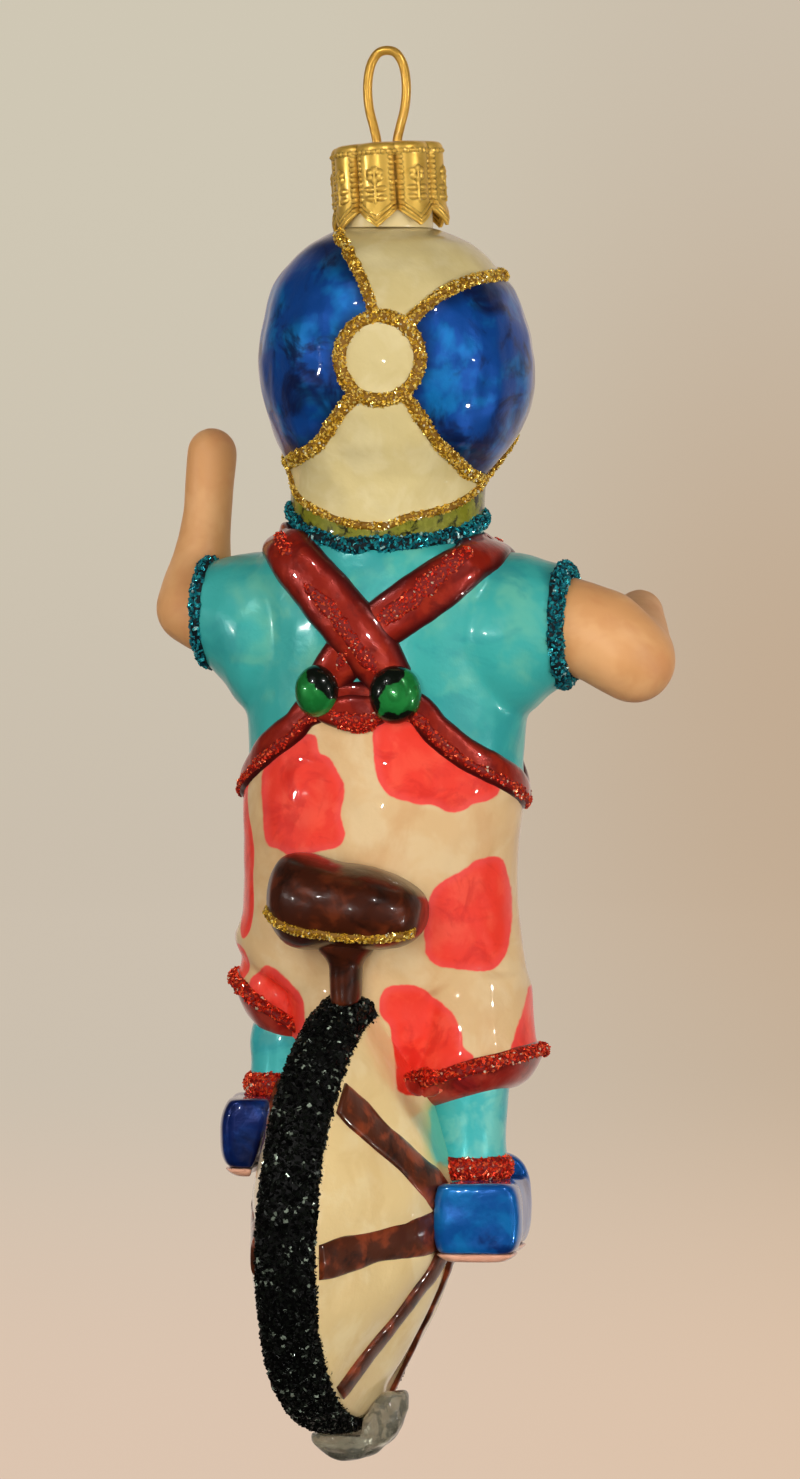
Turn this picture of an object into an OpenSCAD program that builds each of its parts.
// A hollow glass ornament: a clown riding a unicycle, hung by a wire loop.
// Millimetres. The clown faces +Y, its right side is +X, and +Z is up.
// The origin is the hook seat, the inside top of the wire loop.

/* [Hanger] */
// Height from the hook seat down to the top of the cap
loop_drop = 10.8; // [9:0.1:14]
// Thickness of the hanger wire
wire_d = 1.15; // [0.8:0.05:1.3]
// Widest inside width of the loop
loop_w = 3.7; // [3:0.1:5]
// Distance between the two legs where they pass through the cap
leg_pitch = 2.5; // [2.2:0.1:3]
// Straight length of each leg below the top of the cap
leg_straight = 7; // [6.5:0.1:9]
// Height of the splayed part of each leg
leg_splay_h = 8; // [6:0.1:10]

/* [Crown cap] */
// Number of fluted panels around the cap
cap_panels = 8; // [6:1:10]
// Diameter over the panels
cap_d = 14.4; // [13.6:0.1:15]
// Radius of each panel's own curve
panel_r = 3.1; // [2.9:0.1:3.4]
// Thickness of the cap's sheet
cap_sheet = 0.45; // [0.3:0.05:0.5]
// Height from the cap's top to the tips of its panels
cap_h = 10.3; // [9:0.1:11]
// Height of the pointed end of each panel
cap_point_h = 1.8; // [1:0.1:2.5]

/* [Glass] */
// Wall of the blown glass
wall = 1; // [0.7:0.1:1.3]
// Height of the neck
neck_h = 9.7; // [8:0.1:11]

/* [Head] */
// Width of the head with its hat
head_w = 34; // [30:0.5:38]
// Depth of the head with its hat
head_d = 32.6; // [28:0.5:36]
// Height of the head lobe
head_h = 35.4; // [32:0.2:39]
// Sideways lean of the head at its widest
head_sway = 1.1; // [0:0.1:2]
// Width of the nape
nape_w = 24; // [22:0.5:26]
// Depth of the nape
nape_d = 22; // [19:0.5:23]
// Height of the nape
nape_h = 2.8; // [2:0.1:4]
// Angle that the hat's ring is turned to from straight behind
hat_turn = 6.5; // [0:0.5:12]
// Radius of the hat's ring
hat_ring_r = 5.1; // [4.5:0.1:6]
// Diameter of the nose
nose_d = 4.6; // [3.5:0.1:6]
// Radius of the gold trims
gold_trim_r = 0.7; // [0.4:0.05:0.9]

/* [Shirt] */
// Width of the torso
torso_w = 35.4; // [33:0.2:38]
// Depth of the torso
torso_d = 25; // [22:0.5:28]
// Height of the torso lobe
torso_h = 27; // [25:0.2:29]
// Width of the waist
waist_w = 34.2; // [31:0.2:37]
// Height of the left cuff
cuff_left_d = 12.2; // [10:0.1:13]
// Height of the right cuff
cuff_right_d = 14; // [12:0.1:15]
// Distance of the left cuff from the middle
cuff_left_x = 23; // [21:0.2:25]
// Distance of the right cuff from the middle
cuff_right_x = 22.8; // [21:0.2:25]
// Radius of the teal trims
teal_trim_r = 0.9; // [0.6:0.05:1.1]

/* [Arms] */
// Radius of the left upper arm and elbow
arm_left_r = 4.8; // [4:0.1:5.4]
// Radius of the left forearm
forearm_left_r = 3.1; // [2.6:0.1:3.8]
// Height of the raised left forearm above the elbow
forearm_left_h = 19; // [16:0.5:23]
// Radius of the right upper arm
arm_right_r = 5.8; // [5:0.1:6.2]
// Radius of the right forearm at the hand
forearm_right_r = 3; // [2.4:0.1:3.8]
// Length of the right forearm
forearm_right_l = 17; // [14:0.5:20]

/* [Straps and waist] */
// Width of the shoulder straps
strap_w = 4.8; // [3.4:0.1:5.4]
// Height that straps and waistband stand proud
relief_h = 0.8; // [0.5:0.05:1.1]
// Height of the waistband
band_w = 3.6; // [2.6:0.1:4.2]
// Diameter of the strap buttons
button_d = 5.6; // [4.6:0.1:6.4]
// Diameter of the larger button on the right of the back
button_right_d = 6.4; // [5.4:0.1:7]

/* [Trousers] */
// Width of the trousers at the hips
trousers_w = 36.4; // [33:0.2:39]
// Depth of the trousers
trousers_d = 26.4; // [23:0.5:29]
// Height of the trousers lobe above the legs
trousers_h = 27; // [25:0.2:30]
// Distance of the right leg from the middle
leg_right_x = 10.4; // [9.6:0.1:11]
// Distance of the left leg from the middle
leg_left_x = 12.4; // [11.6:0.1:13]
// Width of the right trouser leg
leg_right_w = 15.2; // [13.5:0.1:16]
// Width of the left trouser leg
leg_left_w = 11; // [9.8:0.1:12]
// Length of the right trouser leg
leg_right_h = 8.6; // [7:0.1:10]
// Length of the left trouser leg
leg_left_h = 2.6; // [2:0.1:4]
// Height of the flared hems
hem_h = 3.8; // [3:0.1:4.6]
// Extra width of the hems over the legs
hem_flare = 1.6; // [0.8:0.1:2.2]
// Radius of the red trims
red_trim_r = 0.75; // [0.5:0.05:0.95]

/* [Feet] */
// Diameter of the socks
sock_d = 9.4; // [8.4:0.1:10]
// Length of the right sock below its hem
sock_right_h = 10.6; // [9:0.1:12]
// Length of the left sock below its hem
sock_left_h = 6.8; // [5.5:0.1:8]
// Height of the anklets
anklet_h = 2.6; // [2:0.1:3.4]
// Length of the shoes
shoe_l = 22; // [19:0.5:25]
// Width of the shoes
shoe_w = 11.2; // [10:0.1:12.4]
// Height of the shoes above their soles
shoe_h = 8.4; // [7.4:0.1:9.6]
// Thickness of the soles
sole_t = 1; // [0.6:0.1:1.6]
// Reach of the ankles behind the middle of the body
ankle_back = 4.3; // [3:0.1:5]
// Turn of the right shoe, heel outward
shoe_right_turn = 10; // [6:0.5:12]
// Turn of the left shoe, toe outward
shoe_left_turn = 12; // [8:0.5:14]

/* [Saddle] */
// Width of the saddle
saddle_w = 19.4; // [17:0.2:22]
// Height of the saddle
saddle_h = 10.4; // [9:0.2:12]
// Half depth of the saddle
saddle_reach = 8.5; // [7:0.1:10]
// Distance of the saddle's middle behind the body
saddle_back = 15.5; // [14.5:0.1:16.5]
// Distance of the saddle's middle to the clown's left
saddle_side = 1; // [0.5:0.1:1.5]
// Height of the saddle's middle above the top of the tyre
saddle_rise = 10.6; // [9.8:0.1:12]
// Tilt of the saddle to its right
saddle_tilt = 8; // [0:1:12]
// Radius of the post where it meets the tyre
post_r = 2.5; // [2:0.1:3.2]

/* [Wheel] */
// Diameter over the tyre
tyre_d = 53.8; // [50:0.2:57]
// Width of the tyre
tyre_w = 7.8; // [7:0.1:9]
// Depth of the tyre over the rim
tyre_t = 2.1; // [1.6:0.1:2.8]
// Half thickness of the wheel at its right hub
hub_right_t = 13.6; // [12:0.1:14.4]
// Half thickness of the wheel at its left hub
hub_left_t = 12; // [10:0.1:13]
// Radius of the flat middle of the hub
hub_r = 4.2; // [3:0.1:5]
// Distance of the wheel's middle behind the body
wheel_back = 8.8; // [8:0.1:10]
// Distance of the wheel's middle to the clown's left
wheel_side = 2.6; // [2.2:0.1:3]
// Turn of the wheel against the body
wheel_yaw = 3; // [0:0.5:6]
// Lean of the wheel's top to the clown's right
wheel_roll = 3; // [0:0.5:5]
// Drop from the bottom of the trousers lobe to the top of the tyre
wheel_drop = 0.3; // [0:0.1:1.5]
// Number of raised bars on each side of the wheel
spoke_count = 8; // [6:1:9]
// Width of the raised bars
spoke_w = 3; // [2:0.1:3.6]
// Width of the sealed glass tip
tip_w = 10.8; // [8:0.2:12]
// Drop of the sealed glass tip below the tyre
tip_drop = 3.2; // [2.5:0.1:5]

/* [Hidden] */

$fn = 64;
round_sides = 36;
limb_sides = 28;
trim_sides = 6;
tiny = 0.01;

// Clearances
wire_gap = 0.15;
neck_gap = 0.3;
seat_gap = 0.1;

// Heights of the joints between the lobes, from the hook seat down
wire_r = wire_d / 2;
cap_top_z = -loop_drop;
neck_rim_z = cap_top_z - cap_sheet - seat_gap;
head_top_z = neck_rim_z - neck_h;
nape_top_z = head_top_z - head_h;
torso_top_z = nape_top_z - nape_h;
waist_z = torso_top_z - torso_h;
crotch_z = waist_z - trousers_h;
leg_right_end_z = crotch_z - leg_right_h;
leg_left_end_z = crotch_z - leg_left_h;
hem_right_end_z = leg_right_end_z - hem_h;
hem_left_end_z = leg_left_end_z - hem_h;
ankle_right_z = hem_right_end_z - sock_right_h;
ankle_left_z = hem_left_end_z - sock_left_h;

// Radii shared by pieces that fit each other
panel_mid_r = cap_d / 2 - panel_r;
panel_half_turn = 180 / cap_panels;
cap_bore_r = panel_mid_r * cos(panel_half_turn)
    + sqrt(pow(panel_r - cap_sheet, 2) - pow(panel_mid_r * sin(panel_half_turn), 2));
neck_r = cap_bore_r - neck_gap;
bore_r = neck_r - wall;
sock_r = sock_d / 2;
tyre_r = tyre_d / 2;
rim_r = tyre_r - tyre_t;
rim_t = tyre_w / 2;
wheel_z = crotch_z - wheel_drop - tyre_r;
wheel_mid = [-wheel_side, -wheel_back, wheel_z];
wheel_foot_x = wheel_mid[0] - tyre_r * sin(wheel_roll);
spoke_h = 0.5;
tip_bore_r = 1.5;

// Catmull-Rom curves through the rows of a table
function blend(a, b, c, d, t) =
    0.5 * (2 * b + (c - a) * t + (2 * a - 5 * b + 4 * c - d) * t * t + (3 * b - a - 3 * c + d) * t * t * t);
function row_at(rows, i, t) =
    blend(rows[max(i - 1, 0)], rows[i], rows[i + 1], rows[min(i + 2, len(rows) - 1)], t);
function smooth(rows, steps) =
    [for (i = [0 : len(rows) - 2]) for (j = [0 : steps - 1]) row_at(rows, i, j / steps), rows[len(rows) - 1]];
// The same for a route of angles and heights that goes once around a lobe
function smooth_turn(rows, steps) =
    let (n = len(rows), turn = [360, 0],
         all = [rows[n - 1] - turn, each rows, rows[0] + turn, rows[1] + turn])
    [for (i = [1 : n]) for (j = [0 : steps - 1]) blend(all[i - 1], all[i], all[i + 1], all[i + 2], j / steps)];
function reversed(list) = [for (i = [len(list) - 1 : -1 : 0]) list[i]];
function unit(v) = v / norm(v);

// One ring of points around a centre, along the directions u and v
function ring(centre, u, v, a, b, sides, shape = 2) =
    [for (k = [0 : sides - 1])
        let (c = cos(360 * k / sides), s = sin(360 * k / sides))
        centre + u * a * sign(c) * pow(abs(c), 2 / shape) + v * b * sign(s) * pow(abs(s), 2 / shape)];

// A level ring of a lobe, from a row of height, middle and half widths
function level_ring(row, inset, sides) =
    ring([row[1], row[2], row[0]], [0, -1, 0], [1, 0, 0], row[4] - inset, row[3] - inset, sides);

// Faces between rings that follow each other
function strip_faces(i, j, sides) =
    [for (k = [0 : sides - 1])
        let (a = i * sides + k, b = i * sides + (k + 1) % sides,
             c = j * sides + (k + 1) % sides, d = j * sides + k)
        each [[a, d, c], [a, c, b]]];
function fan_faces(i, pole, sides, up) =
    [for (k = [0 : sides - 1])
        let (a = i * sides + k, b = i * sides + (k + 1) % sides)
        up ? [a, pole, b] : [b, pole, a]];
function flat(rings) = [for (r = rings) each r];

// A skin that closes on its own first ring, such as a tube with a wall or a closed trim
module loop_skin(rings, sides, flip = false) {
    n = len(rings);
    faces = [for (i = [0 : n - 1]) each strip_faces(i, (i + 1) % n, sides)];
    polyhedron(flat(rings), flip ? [for (f = faces) reversed(f)] : faces, convexity = 8);
}

// A skin that ends in a point at each end
module capped_skin(rings, first, last, sides, flip = false) {
    n = len(rings);
    body = [for (i = [0 : n - 2]) each strip_faces(i, i + 1, sides)];
    ends = concat(fan_faces(0, n * sides, sides, false), fan_faces(n - 1, n * sides + 1, sides, true));
    faces = concat(body, ends);
    polyhedron(concat(flat(rings), [first, last]), flip ? [for (f = faces) reversed(f)] : faces, convexity = 8);
}

// A lobe of blown glass, open at the top and at the bottom
module open_lobe(rows, sides = round_sides) {
    outer = [for (r = rows) level_ring(r, 0, sides)];
    inner = [for (r = reversed(rows)) level_ring(r, wall, sides)];
    loop_skin(concat(outer, inner), sides, flip = true);
}

// A lobe of blown glass, open at the top and closed at the bottom
module cup_lobe(rows, sides = round_sides) {
    last = rows[len(rows) - 1];
    outer = [for (r = rows) level_ring(r, 0, sides)];
    inner = [for (r = reversed(rows)) level_ring([max(r[0], last[0] + wall), r[1], r[2], r[3], r[4]], wall, sides)];
    used = [for (i = [0 : len(inner) - 1]) if (i == 0 || rows[len(rows) - 1 - i][0] > last[0] + wall) inner[i]];
    capped_skin(concat(used, outer), [last[1], last[2], last[0] + wall], [last[1], last[2], last[0]], sides, flip = true);
}

// The same outline without its cavity, for cutting neighbours
module full_lobe(rows, sides = round_sides) {
    first = rows[0];
    last = rows[len(rows) - 1];
    capped_skin([for (r = rows) level_ring(r, 0, sides)],
        [first[1], first[2], first[0]], [last[1], last[2], last[0]], sides, flip = true);
}

// A point on a lobe at an angle from straight behind and a height, and the outward direction there
function lobe_value(rows, z, i) = lookup(z, [for (r = rows) [r[0], r[i]]]);
function lobe_point(rows, angle, z) =
    [lobe_value(rows, z, 1) + lobe_value(rows, z, 3) * sin(angle),
     lobe_value(rows, z, 2) - lobe_value(rows, z, 4) * cos(angle), z];
function lobe_out(rows, angle, z) =
    unit(cross(lobe_point(rows, angle + 1, z) - lobe_point(rows, angle - 1, z),
               lobe_point(rows, angle, z + 0.3) - lobe_point(rows, angle, z - 0.3)));

// A trim that lies on a lobe along a list of angles and heights
function trim_ring(points, outs, i, last, half_h, half_w, sides) =
    let (along = unit(points[min(i + 1, last)] - points[max(i - 1, 0)]),
         out = unit(outs[i] - along * (outs[i] * along)))
    ring(points[i], out, cross(along, out), half_h, half_w, sides);
module surface_trim(rows, route, half_h, half_w, sides = trim_sides) {
    points = [for (p = route) lobe_point(rows, p[0], p[1])];
    outs = [for (p = route) lobe_out(rows, p[0], p[1])];
    n = len(route);
    rings = [for (i = [1 : n - 2]) trim_ring(points, outs, i, n - 1, half_h, half_w, sides)];
    capped_skin(rings, points[0], points[n - 1], sides);
}
module surface_loop(rows, route, half_h, half_w, sides = trim_sides) {
    points = [for (p = route) lobe_point(rows, p[0], p[1])];
    outs = [for (p = route) lobe_out(rows, p[0], p[1])];
    n = len(route);
    rings = [for (i = [0 : n - 1])
        let (along = unit(points[(i + 1) % n] - points[(i + n - 1) % n]),
             out = unit(outs[i] - along * (outs[i] * along)))
        ring(points[i], out, cross(along, out), half_h, half_w, sides)];
    loop_skin(rings, sides);
}

// A round tube along points, with its own radius at each
module round_sweep(points, radii, sides, side_dir) {
    n = len(points);
    rings = [for (i = [0 : n - 1])
        let (along = unit(points[min(i + 1, n - 1)] - points[max(i - 1, 0)]),
             out = unit(side_dir - along * (side_dir * along)))
        ring(points[i], out, cross(along, out), radii[i], radii[i], sides)];
    capped_skin(rings, points[0], points[n - 1], sides);
}

// The lobes' outlines: height, sideways middle, depthwise middle, half width, half depth
head_rows = smooth([
    [head_top_z, 0, 0, neck_r, neck_r],
    [head_top_z - 0.055 * head_h, 0.4 * head_sway, 0, 0.59 * head_w / 2, 0.59 * head_d / 2],
    [head_top_z - 0.15 * head_h, 0.5 * head_sway, 0.2, 0.79 * head_w / 2, 0.79 * head_d / 2],
    [head_top_z - 0.27 * head_h, 0.8 * head_sway, 0.4, 0.93 * head_w / 2, 0.93 * head_d / 2],
    [head_top_z - 0.46 * head_h, head_sway, 0.6, head_w / 2, head_d / 2],
    [head_top_z - 0.63 * head_h, head_sway, 0.6, 0.95 * head_w / 2, 0.96 * head_d / 2],
    [head_top_z - 0.76 * head_h, 0.8 * head_sway, 0.5, 0.83 * head_w / 2, 0.85 * head_d / 2],
    [head_top_z - 0.86 * head_h, 0.2 * head_sway, 0.2, 1.01 * nape_w / 2, 1.05 * nape_d / 2],
    [nape_top_z, 0, 0, nape_w / 2, nape_d / 2]], 2);
nape_rows = smooth([
    [nape_top_z, 0, 0, nape_w / 2, nape_d / 2],
    [nape_top_z - 0.5 * nape_h, 0, 0, nape_w / 2 - 0.2, nape_d / 2 - 0.2],
    [torso_top_z, 0, 0, nape_w / 2, nape_d / 2]], 2);
torso_rows = smooth([
    [torso_top_z, 0, 0, nape_w / 2, nape_d / 2],
    [torso_top_z - 0.055 * torso_h, 0, 0, 0.87 * torso_w / 2, 0.93 * torso_d / 2],
    [torso_top_z - 0.17 * torso_h, 0, 0, 0.97 * torso_w / 2, 0.97 * torso_d / 2],
    [torso_top_z - 0.4 * torso_h, 0, 0, torso_w / 2, torso_d / 2],
    [torso_top_z - 0.68 * torso_h, 0, 0, 0.985 * torso_w / 2, 0.99 * torso_d / 2],
    [waist_z, -0.1, 0, waist_w / 2, 0.98 * torso_d / 2]], 3);
trousers_rows = smooth([
    [waist_z, -0.1, 0, waist_w / 2, 0.98 * torso_d / 2],
    [waist_z - 0.14 * trousers_h, -0.3, 0, 0.965 * trousers_w / 2, 0.98 * trousers_d / 2],
    [waist_z - 0.45 * trousers_h, -0.8, 0, 0.935 * trousers_w / 2, trousers_d / 2],
    [waist_z - 0.7 * trousers_h, -0.8, 0, 0.95 * trousers_w / 2, trousers_d / 2],
    [waist_z - 0.9 * trousers_h, -0.9, 0, trousers_w / 2, 0.97 * trousers_d / 2],
    [crotch_z, -0.9, 0, 0.99 * trousers_w / 2, 0.9 * trousers_d / 2]], 2);
upper_rows = concat(head_rows, [for (i = [1 : len(nape_rows) - 1]) nape_rows[i]],
    [for (i = [1 : len(torso_rows) - 1]) torso_rows[i]]);
leg_right_d = 1.18 * leg_right_w;
leg_left_d = 1.4 * leg_left_w;
leg_right_rows = smooth([
    [crotch_z, leg_right_x, -0.5, leg_right_w / 2, leg_right_d / 2],
    [crotch_z - 0.5 * leg_right_h, leg_right_x + 0.1, -0.8, 1.02 * leg_right_w / 2, 1.01 * leg_right_d / 2],
    [leg_right_end_z, leg_right_x + 0.3, -1, 1.05 * leg_right_w / 2, 1.03 * leg_right_d / 2]], 2);
leg_left_rows = smooth([
    [crotch_z, -leg_left_x, 0, leg_left_w / 2, leg_left_d / 2],
    [leg_left_end_z, -leg_left_x - 0.1, 0, 1.03 * leg_left_w / 2, 1.02 * leg_left_d / 2]], 2);
hem_right_rows = [
    [leg_right_end_z, leg_right_x + 0.3, -1, 1.05 * leg_right_w / 2, 1.03 * leg_right_d / 2],
    [leg_right_end_z - 0.4 * hem_h, leg_right_x + 0.4, -1,
        (1.05 * leg_right_w + 0.8 * hem_flare) / 2, (1.03 * leg_right_d + 0.8 * hem_flare) / 2],
    [hem_right_end_z, leg_right_x + 0.2, -1,
        (1.05 * leg_right_w + hem_flare) / 2 - 0.9, (1.03 * leg_right_d + hem_flare) / 2 - 0.9]];
hem_left_rows = [
    [leg_left_end_z, -leg_left_x - 0.1, 0, 1.03 * leg_left_w / 2, 1.02 * leg_left_d / 2],
    [leg_left_end_z - 0.4 * hem_h, -leg_left_x - 0.2, 0,
        (1.03 * leg_left_w + 0.8 * hem_flare) / 2, (1.02 * leg_left_d + 0.8 * hem_flare) / 2],
    [hem_left_end_z, -leg_left_x, 0,
        (1.03 * leg_left_w + hem_flare) / 2 - 0.9, (1.02 * leg_left_d + hem_flare) / 2 - 0.9]];

// The wheel's space: a double cone with the tyre around it. The legs and feet are cut back to it
module wheel_frame() {
    translate(wheel_mid) rotate([0, 0, -wheel_yaw]) rotate([0, wheel_roll, 0]) rotate([0, 90, 0]) children();
}
function cone_t(r, hub_t) = hub_t - (hub_t - rim_t) * max(r - hub_r, 0) / (rim_r - hub_r);
module wheel_outline(inset) {
    r = rim_r - inset;
    polygon([[0, inset - hub_left_t], [hub_r, inset - hub_left_t], [r, inset - cone_t(r, hub_left_t)],
        [r, cone_t(r, hub_right_t) - inset], [hub_r, hub_right_t - inset], [0, hub_right_t - inset]]);
}
module wheel_solid() { wheel_frame() rotate_extrude() wheel_outline(0); }
module wheel_space() {
    wheel_solid();
    wheel_frame() cylinder(h = tyre_w, r = tyre_r, center = true);
}

// Hanger: one wire bent into a teardrop loop with two splayed legs
loop_half = (loop_w + wire_d) / 2;
leg_x = leg_pitch / 2;
splay_x = bore_r - wire_r - wire_gap;
leg_half = smooth([
    [0, wire_r],
    [0.45 * loop_half, wire_r - 0.13 * loop_half],
    [0.79 * loop_half, -0.085 * loop_drop],
    [0.96 * loop_half, -0.24 * loop_drop],
    [loop_half, -0.42 * loop_drop],
    [0.9 * loop_half, -0.62 * loop_drop],
    [0.45 * (loop_half + leg_x), -0.81 * loop_drop],
    [leg_x, cap_top_z],
    [leg_x, cap_top_z - 0.5 * leg_straight],
    [leg_x, cap_top_z - 0.9 * leg_straight],
    [leg_x + 0.1, cap_top_z - leg_straight],
    [0.45 * splay_x + 0.55 * leg_x, cap_top_z - leg_straight - 0.35 * leg_splay_h],
    [splay_x, cap_top_z - leg_straight - 0.9 * leg_splay_h],
    [splay_x - 0.3, cap_top_z - leg_straight - leg_splay_h]], 3);
module hanger_wire() {
    color("darkgoldenrod") {
        left = [for (p = reversed(leg_half)) [-p[0], 0, p[1]]];
        right = [for (i = [1 : len(leg_half) - 1]) [leg_half[i][0], 0, leg_half[i][1]]];
        route = concat(left, right);
        round_sweep(route, [for (p = route) wire_r], 12, [0, -1, 0]);
    }
}

// Crown cap: fluted skirt, pointed panels and a top with two holes for the wire
module panel_plan(inset) {
    for (i = [0 : cap_panels - 1])
        rotate(360 * i / cap_panels)
            translate([panel_mid_r, 0])
                circle(r = panel_r - inset);
    circle(r = panel_mid_r);
}
module crown_cap() {
    point_w = cap_d * tan(panel_half_turn);
    color("gold") difference() {
        union() {
            translate([0, 0, cap_top_z - cap_h])
                linear_extrude(cap_h - cap_sheet)
                    panel_plan(0);
            translate([0, 0, cap_top_z - 2 * cap_sheet])
                cylinder(h = 2 * cap_sheet, r1 = cap_d / 2 - 0.5, r2 = cap_d / 2 - 1);
        }
        translate([0, 0, cap_top_z - cap_h - 1])
            linear_extrude(cap_h + 1 - cap_sheet)
                panel_plan(cap_sheet);
        for (side = [-1, 1])
            translate([side * leg_x, 0, cap_top_z - 2 * cap_sheet - 1])
                cylinder(h = 3 * cap_sheet + 2, r = wire_r + wire_gap);
        for (i = [0 : cap_panels - 1])
            rotate([0, 0, 360 * (i + 0.5) / cap_panels])
                translate([cap_d, 0, cap_top_z - cap_h])
                    rotate([90, 0, -90])
                        linear_extrude(cap_d)
                            polygon([[-point_w / 2, -tiny], [point_w / 2, -tiny], [0, cap_point_h]]);
    }
}

// Glass neck that the cap sits on
module glass_neck() {
    color("ivory") translate([0, 0, head_top_z]) difference() {
        cylinder(h = neck_h, r = neck_r);
        translate([0, 0, -1]) cylinder(h = neck_h + 2, r = bore_r);
    }
}

module head_shell() { color("royalblue") open_lobe(head_rows); }
module nape_hair() { color("olive") open_lobe(nape_rows); }
module torso_shell() { color("turquoise") open_lobe(torso_rows); }
module trousers_shell() { color("ivory") cup_lobe(trousers_rows); }

// Nose at the front of the head
nose_z = head_top_z - 0.62 * head_h;
module nose() {
    front = lobe_point(head_rows, 180, nose_z);
    color("red") difference() {
        translate(front) sphere(d = nose_d);
        full_lobe(head_rows);
    }
}

// Gold trims on the hat, as heights below the top of the head
function hat_route(list, steps) =
    smooth([for (p = list) [p[0] + hat_turn, head_top_z - p[1] * head_h]], steps);
ring_z = head_top_z - 0.455 * head_h;
ring_steps = 28;
hat_ring_route = [for (i = [0 : ring_steps - 1])
    let (a = 360 * i / ring_steps)
    [hat_turn + hat_ring_r * cos(a) / (head_w / 2) * 180 / PI, ring_z - hat_ring_r * sin(a)]];
hat_upper_left = [[-50, 0.015], [-27, 0.064], [-17, 0.122], [-9, 0.19], [-4.5, 0.26], [-2.5, 0.31]];
hat_upper_right = [[14, 0.32], [20, 0.278], [30, 0.23], [46, 0.19], [70, 0.168], [97, 0.16], [125, 0.15]];
hat_lower_left = [[-7, 0.575], [-13, 0.6], [-21, 0.664], [-33, 0.745], [-50, 0.785], [-69, 0.808]];
hat_lower_right = [[9, 0.575], [12.5, 0.6], [18.5, 0.665], [28.5, 0.749], [48, 0.826], [62, 0.853]];
hat_edge = [[7, 1.024], [20, 0.995], [47, 0.963], [75, 0.9], [91, 0.86], [112, 0.76], [132, 0.6], [155, 0.44],
    [180, 0.38], [212, 0.47], [244, 0.66], [270, 0.78], [290, 0.825], [298, 0.895], [312, 0.942],
    [326, 0.975], [345, 1.014]];
module hat_trim(list) {
    color("goldenrod") surface_trim(head_rows, hat_route(list, 3), gold_trim_r, gold_trim_r);
}
module hat_ring_trim() { color("goldenrod") surface_loop(head_rows, hat_ring_route, gold_trim_r, 1.1 * gold_trim_r); }
module hat_seam_upper_left() { hat_trim(hat_upper_left); }
module hat_seam_upper_right() { hat_trim(hat_upper_right); }
module hat_seam_lower_left() { hat_trim(hat_lower_left); }
module hat_seam_lower_right() { hat_trim(hat_lower_right); }
module hat_edge_trim() {
    route = smooth_turn([for (p = hat_edge) [p[0], head_top_z - p[1] * head_h]], 3);
    color("goldenrod") surface_loop(upper_rows, route, gold_trim_r, gold_trim_r);
}

// Collar trim around the nape
collar_count = 36;
module collar_trim() {
    route = [for (i = [0 : collar_count - 1])
        let (a = 360 * i / collar_count)
        [a, nape_top_z - nape_h * (0.5 + 0.45 * cos(a) - 0.42 * pow(sin(a), 2))]];
    color("teal") surface_loop(upper_rows, route, teal_trim_r, 1.4 * teal_trim_r);
}

// Sleeves: cups that grow out of the torso and end at the cuffs
sleeve_mid_z = torso_top_z - 0.42 * torso_h;
cuff_left_z = torso_top_z - 0.32 * torso_h;
cuff_right_z = torso_top_z - 0.37 * torso_h;
armhole_half_d = 0.69 * torso_d / 2;
function sleeve_rows(side, cuff_x, cuff_z, cuff_d) = [
    [side * 0.6 * torso_w / 2, sleeve_mid_z, 1.07 * armhole_half_d, 0.38 * torso_h],
    [side * 0.94 * torso_w / 2, sleeve_mid_z, armhole_half_d, 0.375 * torso_h],
    [side * 0.5 * (cuff_x + 0.94 * torso_w / 2), 0.4 * sleeve_mid_z + 0.6 * cuff_z,
        0.5 * (armhole_half_d + 0.46 * cuff_d), 0.5 * (0.36 * torso_h + cuff_d / 2)],
    [side * cuff_x, cuff_z, 0.46 * cuff_d, cuff_d / 2]];
function sleeve_rings(rows, side, inset) = [for (r = smooth(rows, 2))
    ring([r[0], 0, r[1]], [0, -side, 0], [0, 0, 1], r[2] - inset, r[3] - inset, limb_sides)];
module sleeve(side, cuff_x, cuff_z, cuff_d) {
    rows = sleeve_rows(side, cuff_x, cuff_z, cuff_d);
    outer = sleeve_rings(rows, side, 0);
    inner = sleeve_rings(rows, side, wall);
    n = len(outer);
    used = [for (i = [n - 2 : -1 : 0]) inner[i]];
    difference() {
        capped_skin(concat(used, outer), [side * (cuff_x - 1.6 * wall), 0, cuff_z],
            [side * cuff_x, 0, cuff_z], limb_sides, flip = side < 0);
        full_lobe(torso_rows);
    }
}
module sleeve_left() { color("turquoise") sleeve(-1, cuff_left_x, cuff_left_z, cuff_left_d); }
module sleeve_right() { color("turquoise") sleeve(1, cuff_right_x, cuff_right_z, cuff_right_d); }

// Glitter ring at each cuff
module cuff_trim(side, cuff_x, cuff_z, cuff_d) {
    translate([side * cuff_x, 0, cuff_z])
        rotate([0, 90, 0])
            scale([1, 0.92, 1])
                rotate_extrude($fn = limb_sides)
                    translate([cuff_d / 2 - 0.2, 0]) circle(r = teal_trim_r, $fn = 16);
}
module cuff_trim_left() { color("teal") cuff_trim(-1, cuff_left_x, cuff_left_z, cuff_left_d); }
module cuff_trim_right() { color("teal") cuff_trim(1, cuff_right_x, cuff_right_z, cuff_right_d); }

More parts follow.
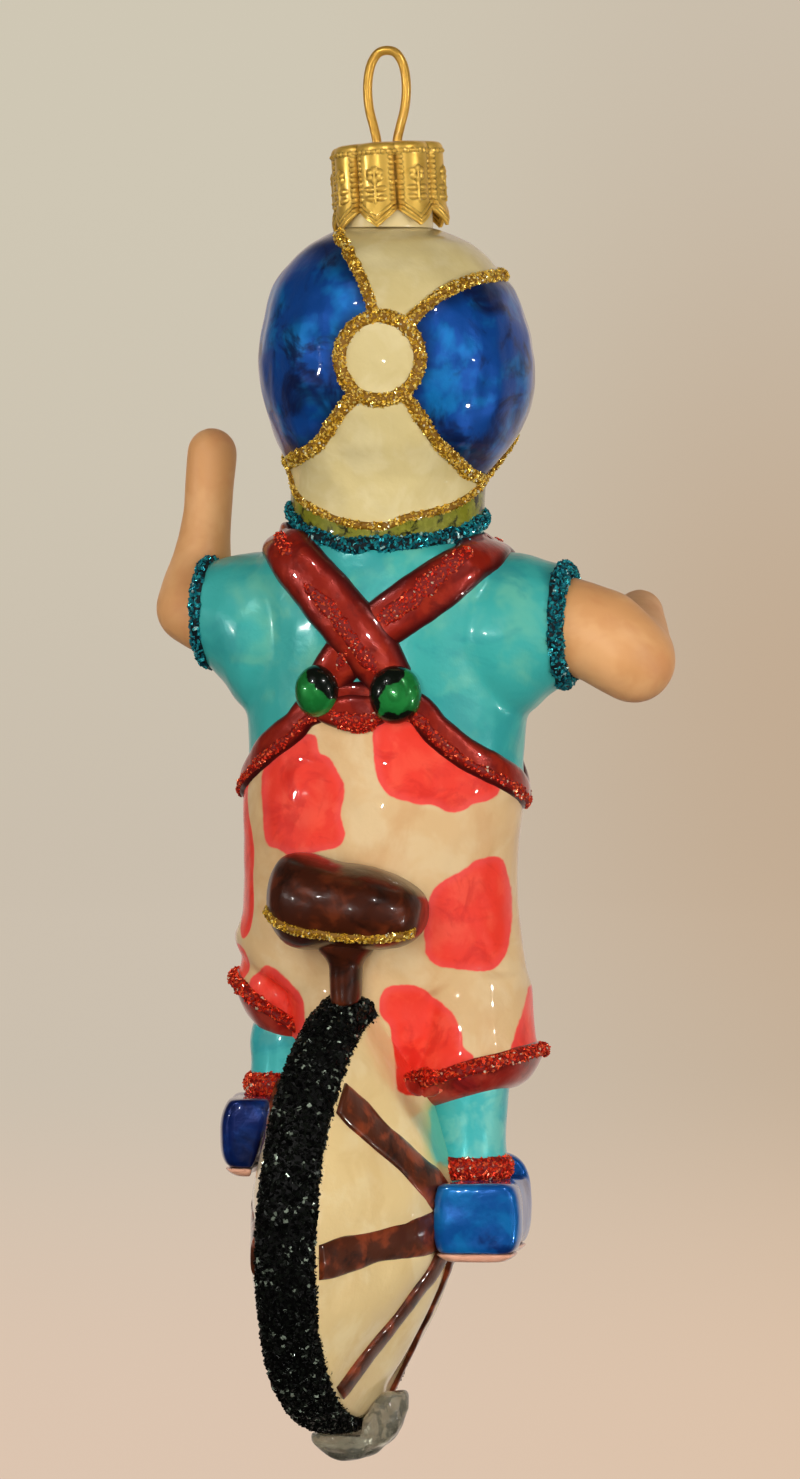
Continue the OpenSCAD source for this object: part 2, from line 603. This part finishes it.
// Arms: chains of round swellings, cut flat where they leave the cuffs
module limb_chain(points) {
    for (i = [0 : len(points) - 2])
        hull() {
            translate([points[i][0], points[i][1], points[i][2]]) sphere(r = points[i][3], $fn = 24);
            translate([points[i + 1][0], points[i + 1][1], points[i + 1][2]]) sphere(r = points[i + 1][3], $fn = 24);
        }
}
elbow_left = [-cuff_left_x - 1.6, 1.2, cuff_left_z + 0.6];
left_arm_points = smooth([
    [-cuff_left_x + 2, 0, cuff_left_z - 0.2, 1.02 * arm_left_r],
    [elbow_left[0], elbow_left[1], elbow_left[2], arm_left_r],
    [elbow_left[0] + 0.1, elbow_left[1] + 2.6, elbow_left[2] + 0.27 * forearm_left_h, 1.2 * forearm_left_r],
    [elbow_left[0] + 0.6, elbow_left[1] + 3.6, elbow_left[2] + 0.6 * forearm_left_h, 0.98 * forearm_left_r],
    [elbow_left[0] + 1, elbow_left[1] + 4.2, elbow_left[2] + forearm_left_h, forearm_left_r]], 2);
elbow_right = [cuff_right_x + 7.8, 0.8, cuff_right_z - 4.4];
right_arm_points = smooth([
    [cuff_right_x - 2, 0, cuff_right_z + 0.4, arm_right_r],
    [cuff_right_x + 4, 0, cuff_right_z - 1.4, arm_right_r],
    [elbow_right[0], elbow_right[1], elbow_right[2], 0.88 * arm_right_r],
    [elbow_right[0] - 0.8, elbow_right[1] + 0.4 * forearm_right_l, elbow_right[2] + 2, 1.3 * forearm_right_r],
    [elbow_right[0] - 2.8, elbow_right[1] + 0.95 * forearm_right_l, elbow_right[2] + 5.6, forearm_right_r]], 2);
module arm(points, side, cuff_x, cuff_z, cuff_d) {
    difference() {
        limb_chain(points);
        translate([side * cuff_x, 0, cuff_z]) rotate([0, -side * 90, 0]) cylinder(h = cuff_x, d = cuff_d + 1);
    }
}
module arm_left() {
    color("burlywood") arm(left_arm_points, -1, cuff_left_x, cuff_left_z, cuff_left_d);
}
module arm_right() {
    color("burlywood") arm(right_arm_points, 1, cuff_right_x, cuff_right_z, cuff_right_d);
}

// Straps over the shoulders, as angles and depths below the top of the torso
strap_left_route = [[13.7, 0.67], [7.7, 0.55], [-1, 0.42], [-12, 0.28], [-28, 0.12], [-52, 0.035], [-88, 0.02],
    [-128, 0.035], [-152, 0.14], [-158, 0.34], [-160, 0.5]];
strap_right_route = [[-18, 0.66], [-9, 0.53], [3, 0.405], [16, 0.3], [31, 0.19], [50, 0.08], [70, 0.035],
    [95, 0.02], [128, 0.035], [152, 0.14], [158, 0.34], [160, 0.5]];
function on_torso(list, steps) = smooth([for (p = list) [p[0], torso_top_z - p[1] * torso_h]], steps);
module strap(list) {
    color("firebrick") surface_trim(torso_rows, on_torso(list, 3), relief_h, strap_w / 2, 8);
}
module strap_left() { strap(strap_left_route); }
module strap_right() { strap(strap_right_route); }

// Buttons at the ends of the straps
module button(end, d = button_d) {
    place = lobe_point(torso_rows, end[0], torso_top_z - end[1] * torso_h);
    out = lobe_out(torso_rows, end[0], torso_top_z - end[1] * torso_h);
    color("forestgreen") translate(place + out * 0.22 * d) sphere(d = d);
}
module rear_button_left() { button(strap_right_route[0]); }
module rear_button_right() { button(strap_left_route[0], button_right_d); }
module front_button_left() { button(strap_left_route[len(strap_left_route) - 1]); }
module front_button_right() { button(strap_right_route[len(strap_right_route) - 1]); }

// Waistband around the top of the trousers, and the tab between the rear buttons
figure_rows = concat(torso_rows, [for (i = [1 : len(trousers_rows) - 1]) trousers_rows[i]]);
band_route = smooth_turn([for (p = [
    [4, 0.725], [22, 0.75], [31, 0.84], [45, 0.945], [62, 1.02], [80, 1.08], [102, 1.13], [120, 1.02],
    [148, 0.72], [165, 0.56], [180, 0.54], [195, 0.56], [212, 0.72], [240, 0.98], [268, 1.09], [284, 1.055],
    [297, 1], [312, 0.92], [328, 0.83], [336, 0.765], [352, 0.725]])
    [p[0], torso_top_z - p[1] * torso_h]], 4);
module waistband() {
    color("firebrick") surface_loop(figure_rows, band_route, relief_h, band_w / 2, 8);
}
module waist_tab() {
    route = smooth([for (a = [-15, -9, -3, 3, 9]) [a, torso_top_z - 0.76 * torso_h]], 2);
    color("firebrick") surface_trim(torso_rows, route, 1.3 * relief_h, 0.5 * band_w + 0.2, 8);
}

// Trouser legs and their flared hems
module beside_wheel() {
    difference() {
        children();
        wheel_space();
    }
}
module trouser_leg_left() { color("ivory") beside_wheel() open_lobe(leg_left_rows, limb_sides); }
module trouser_leg_right() { color("ivory") beside_wheel() open_lobe(leg_right_rows, limb_sides); }
module hem_left() { color("brown") beside_wheel() cup_lobe(hem_left_rows, limb_sides); }
module hem_right() { color("brown") beside_wheel() cup_lobe(hem_right_rows, limb_sides); }
module hem_trim(rows) {
    z = rows[1][0];
    route = [for (i = [0 : limb_sides - 1]) [360 * i / limb_sides, z]];
    color("red") beside_wheel() surface_loop(rows, route, red_trim_r, red_trim_r);
}
module hem_trim_left() { hem_trim(hem_left_rows); }
module hem_trim_right() { hem_trim(hem_right_rows); }

// Socks, anklets and shoes
sock_right_mid = [leg_right_x + 0.8, -ankle_back];
sock_left_mid = [1 - leg_left_x, -ankle_back];
module sock(mid, top_z, height) {
    beside_wheel() translate([mid[0], mid[1], top_z - height]) difference() {
        cylinder(h = height, r = sock_r);
        translate([0, 0, -1]) cylinder(h = height + 2, r = sock_r - wall);
    }
}
module sock_left() { color("turquoise") sock(sock_left_mid, hem_left_end_z, sock_left_h); }
module sock_right() { color("turquoise") sock(sock_right_mid, hem_right_end_z, sock_right_h); }
module anklet(mid, ankle_z) {
    beside_wheel() translate([mid[0], mid[1], ankle_z + anklet_h / 2])
        rotate_extrude()
            translate([sock_r, 0]) intersection() {
                scale([0.5, 1]) circle(d = anklet_h, $fn = 24);
                translate([0, -anklet_h / 2]) square([anklet_h, anklet_h]);
            }
}
module anklet_left() { color("red") anklet(sock_left_mid, ankle_left_z); }
module anklet_right() { color("red") anklet(sock_right_mid, ankle_right_z); }

// One row per station of the shoe: distance from the heel, half width, half height
heel_back = 0.53;
shoe_rows = smooth([
    [0, 0.74, 0.8], [0.035, 0.93, 0.95], [0.2, 1, 1], [0.42, 0.92, 0.95], [0.62, 1, 1.02], [0.8, 1.06, 1.2],
    [0.93, 0.86, 1.05], [1, 0.42, 0.55]], 2);
shoe_toe_lift = 3.6;
module shoe_form(mid, ankle_z, spread) {
    heel_y = mid[1] - heel_back * shoe_l;
    middle_z = ankle_z - shoe_h / 2;
    rings = [for (r = shoe_rows)
        let (lift = shoe_toe_lift * pow(max(r[0] - 0.45, 0), 1.4))
        ring([mid[0], heel_y + r[0] * shoe_l, middle_z + lift], [0, 0, 1], [1, 0, 0],
            r[2] * (shoe_h / 2 + 1.2) + spread, r[1] * shoe_w / 2 + spread, limb_sides, 3.4)];
    capped_skin(rings, [mid[0], heel_y - spread, middle_z],
        [mid[0], heel_y + shoe_l + spread, middle_z + 0.4 * shoe_toe_lift], limb_sides);
}
module turned_at(mid, turn) {
    translate([mid[0], mid[1], 0]) rotate([0, 0, turn]) translate([-mid[0], -mid[1], 0]) children();
}
module shoe(mid, ankle_z, turn) {
    color("mediumblue") difference() {
        turned_at(mid, turn) difference() {
            shoe_form(mid, ankle_z, 0);
            translate([mid[0] - shoe_w, mid[1] - 1.05 * sock_r - shoe_l, ankle_z])
                cube([2 * shoe_w, 2.1 * sock_r + shoe_l, shoe_h]);
            translate([mid[0] - shoe_w, mid[1] - shoe_l, ankle_z - 2 * shoe_h])
                cube([2 * shoe_w, 2 * shoe_l, shoe_h]);
        }
        wheel_space();
    }
}
module sole(mid, ankle_z, turn) {
    color("peachpuff") difference() {
        turned_at(mid, turn) intersection() {
            shoe_form(mid, ankle_z, 0.25);
            translate([mid[0] - shoe_w, mid[1] - shoe_l, ankle_z - shoe_h - sole_t])
                cube([2 * shoe_w, 2 * shoe_l, sole_t]);
        }
        wheel_space();
    }
}
shoe_right_mid = [sock_right_mid[0] + 1.6, sock_right_mid[1]];
shoe_left_mid = [sock_left_mid[0] - 2.3, sock_left_mid[1]];
module shoe_left() { shoe(shoe_left_mid, ankle_left_z, shoe_left_turn); }
module shoe_right() { shoe(shoe_right_mid, ankle_right_z, shoe_right_turn); }
module sole_left() { sole(shoe_left_mid, ankle_left_z, shoe_left_turn); }
module sole_right() { sole(shoe_right_mid, ankle_right_z, shoe_right_turn); }

// Wheel: a hollow double cone, with a hole at its foot that the sealed tip closes
module wheel_shell() {
    color("cornsilk") difference() {
        wheel_solid();
        wheel_frame() rotate_extrude() wheel_outline(wall);
        translate([wheel_foot_x, wheel_mid[1], wheel_z - tyre_r - 1])
            cylinder(h = tyre_t + 2 * wall + 2, r = tip_bore_r);
    }
}
spoke_phase = 0.24;
module spokes(side) {
    hub_t = side > 0 ? hub_right_t : hub_left_t;
    slope = atan2(hub_t - rim_t, rim_r - hub_r);
    length = norm([hub_t - rim_t, rim_r - hub_r]);
    difference() {
        for (i = [0 : spoke_count - 1])
            wheel_frame()
                rotate([0, 0, 360 * (i + spoke_phase) / spoke_count])
                    translate([hub_r, 0, side * hub_t])
                        rotate([0, side * slope, 0])
                            translate([-0.5, -spoke_w / 2, -0.2])
                                cube([length, spoke_w, 0.4 + spoke_h]);
        full_lobe(web_rows, limb_sides);
        if (side > 0) full_lobe(leg_right_rows, limb_sides);
        else {
            full_lobe(leg_left_rows, limb_sides);
            foot_space(sock_left_mid, ankle_left_z, sock_left_h);
        }
    }
}
// Room for a sock and its anklet
module foot_space(mid, ankle_z, height) {
    translate([mid[0], mid[1], ankle_z]) {
        cylinder(h = height, r = sock_r);
        cylinder(h = anklet_h, r = sock_r + anklet_h / 4);
    }
}
module spokes_left() { color("saddlebrown") spokes(-1); }
module spokes_right() { color("saddlebrown") spokes(1); }
axle_reach = 1.4;
module pedal_axle() {
    color("saddlebrown") wheel_frame()
        for (side = [-1, 1])
            translate([0, 0, side > 0 ? hub_right_t : -hub_left_t - axle_reach])
                cylinder(h = axle_reach, r = 0.45 * hub_r);
}
module tyre() {
    color("black") difference() {
        wheel_frame() rotate_extrude()
            polygon(concat([[rim_r, rim_t], [rim_r, -rim_t]],
                [for (a = [-80 : 20 : 80]) [rim_r + 0.4 * tyre_t + 0.6 * tyre_t * cos(a), rim_t * sin(a) / sin(80)]]));
        translate([wheel_foot_x, wheel_mid[1], wheel_z - tyre_r - 1]) cylinder(h = tyre_t + 3, r = tip_bore_r);
    }
}

// Web between the trousers and the wheel
web_h = 0.3 * tyre_d;
web_x = 0.5 * (leg_right_x - leg_left_x) + 1;
web_rows = smooth([
    [crotch_z, web_x, -1.2, 11.4, 0.45 * trousers_d],
    [crotch_z - 0.3 * web_h, web_x, -1.6, 10.6, 0.41 * trousers_d],
    [crotch_z - 0.7 * web_h, web_x - 0.4, -2.4, 8.6, 0.32 * trousers_d],
    [crotch_z - web_h, web_x - 0.8, -3, 6.4, 0.24 * trousers_d]], 2);
module seat_web() {
    color("cornsilk") difference() {
        open_lobe(web_rows, limb_sides);
        wheel_space();
        full_lobe(leg_right_rows, limb_sides);
        full_lobe(leg_left_rows, limb_sides);
        full_lobe(hem_right_rows, limb_sides);
        full_lobe(hem_left_rows, limb_sides);
        foot_space(sock_right_mid, ankle_right_z, sock_right_h);
        foot_space(sock_left_mid, ankle_left_z, sock_left_h);
        hem_trim_right();
        hem_trim_left();
        saddle_post();
    }
}

// Saddle, its piping and its post
saddle_mid = [-saddle_side, -saddle_back, wheel_z + tyre_r + saddle_rise];
saddle_half = [saddle_w / 2, saddle_reach, saddle_h / 2];
saddle_rings = [for (a = [-75 : 15 : 75])
    ring([saddle_half[0] * sin(a), 0, 0], [0, -1, 0], [0, 0, 1],
        saddle_half[1] * pow(cos(a), 0.7), saddle_half[2] * pow(cos(a), 0.7), limb_sides, 2.3)];
module saddle_full() {
    translate(saddle_mid) rotate([0, saddle_tilt, 0])
        capped_skin(saddle_rings, [-saddle_half[0], 0, 0], [saddle_half[0], 0, 0], limb_sides, flip = false);
}
module saddle() {
    color("saddlebrown") difference() {
        saddle_full();
        full_lobe(trousers_rows);
    }
}
piping_route = [for (a = [-78 : 6.5 : 78])
    [saddle_half[0] * sin(a) * 0.98, -saddle_half[1] * pow(cos(a), 0.7) * 0.82, -saddle_half[2] * (0.18 + 0.47 * cos(a))]];
module saddle_piping() {
    color("goldenrod") translate(saddle_mid) rotate([0, saddle_tilt, 0])
        round_sweep(piping_route, [for (p = piping_route) 0.55], trim_sides, [0, 0, 1]);
}
module saddle_post() {
    rows = smooth([
        [saddle_mid[2] - 0.36 * saddle_h, saddle_mid[0], saddle_mid[1], 1.6 * post_r, 1.5 * post_r],
        [saddle_mid[2] - 0.55 * saddle_h, saddle_mid[0], saddle_mid[1], 1.4 * post_r, 1.4 * post_r],
        [saddle_mid[2] - 0.7 * saddle_h, saddle_mid[0], saddle_mid[1], 1.08 * post_r, 1.1 * post_r],
        [wheel_z + tyre_r - 3, saddle_mid[0], saddle_mid[1], post_r, 1.1 * post_r]], 2);
    color("saddlebrown") difference() {
        full_lobe(rows, limb_sides);
        full_lobe(trousers_rows);
        wheel_frame() cylinder(h = 4 * post_r + tyre_w, r = tyre_r, center = true);
    }
}

// Sealed glass tip under the wheel
module seal_tip() {
    foot_z = wheel_z - tyre_r;
    rows = smooth([
        [foot_z + 5.2, wheel_foot_x + 7.2, wheel_mid[1] + 0.5, 1.3, 2],
        [foot_z + 3, wheel_foot_x + 4.8, wheel_mid[1] + 0.3, 4, 3.2],
        [foot_z, wheel_foot_x + 2.2, wheel_mid[1], tip_w / 2, 4],
        [foot_z - 0.6 * tip_drop, wheel_foot_x + 1.6, wheel_mid[1], 0.36 * tip_w, 3],
        [foot_z - tip_drop, wheel_foot_x + 1.4, wheel_mid[1], 0.12 * tip_w, 1]], 2);
    color("gray") union() {
        difference() {
            full_lobe(rows, 20);
            wheel_space();
            spokes_right();
        }
        translate([wheel_foot_x, wheel_mid[1], foot_z - tiny]) cylinder(h = tyre_t + wall, r = tip_bore_r - tiny);
    }
}

hanger_wire();
crown_cap();
glass_neck();
head_shell();
nose();
nape_hair();
hat_ring_trim();
hat_seam_upper_left();
hat_seam_upper_right();
hat_seam_lower_left();
hat_seam_lower_right();
hat_edge_trim();
collar_trim();
torso_shell();
sleeve_left();
sleeve_right();
cuff_trim_left();
cuff_trim_right();
arm_left();
arm_right();
strap_left();
strap_right();
rear_button_left();
rear_button_right();
front_button_left();
front_button_right();
waist_tab();
waistband();
trousers_shell();
trouser_leg_left();
trouser_leg_right();
hem_left();
hem_right();
hem_trim_left();
hem_trim_right();
sock_left();
sock_right();
anklet_left();
anklet_right();
shoe_left();
shoe_right();
sole_left();
sole_right();
seat_web();
saddle();
saddle_piping();
saddle_post();
wheel_shell();
spokes_left();
spokes_right();
pedal_axle();
tyre();
seal_tip();
